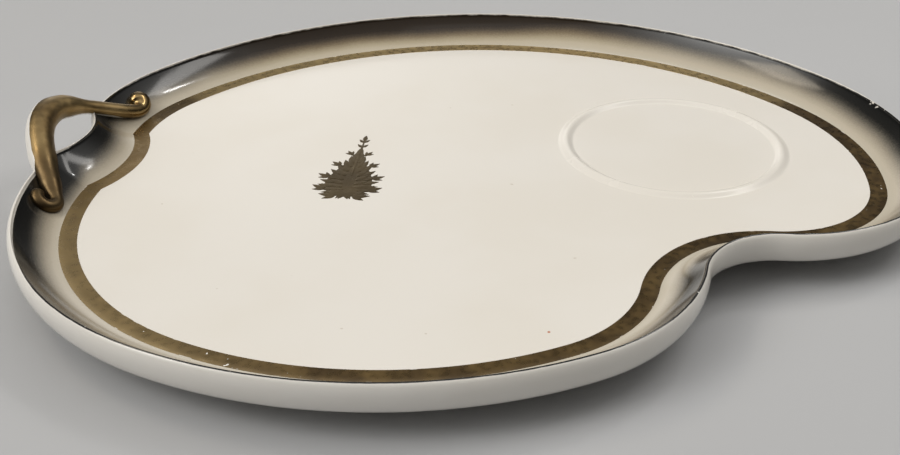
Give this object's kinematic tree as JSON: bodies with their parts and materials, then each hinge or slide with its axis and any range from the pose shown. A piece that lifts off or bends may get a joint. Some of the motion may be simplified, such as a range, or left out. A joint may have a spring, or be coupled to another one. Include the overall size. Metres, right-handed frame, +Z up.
{
  "type": "snack plate",
  "caption": "Palette-shaped porcelain snack plate with a low flared rim, a waist, a looped handle over a thumb bay and a raised ring that keeps a cup in place.",
  "frame": {"origin": "under the middle of the plate's box, on the surface that its foot ring stands on", "axes": "+X from the handle towards the cup's end, +Y away from the waist, +Z up"},
  "size_m": [0.217, 0.1874, 0.0217],
  "materials": {
    "glaze": "gloss",
    "bare_foot": "matte",
    "ring_glaze": "gloss",
    "band_gilding": "satin",
    "spray_gilding": "satin",
    "handle_gilding": "gloss"
  },
  "bodies": {
    "root": {"plate_body": "glaze", "foot_ring": "bare_foot", "cup_ring": "ring_glaze", "gold_band": "band_gilding", "gilt_spray": "spray_gilding", "handle": "handle_gilding"}
  },
  "joints": []
}
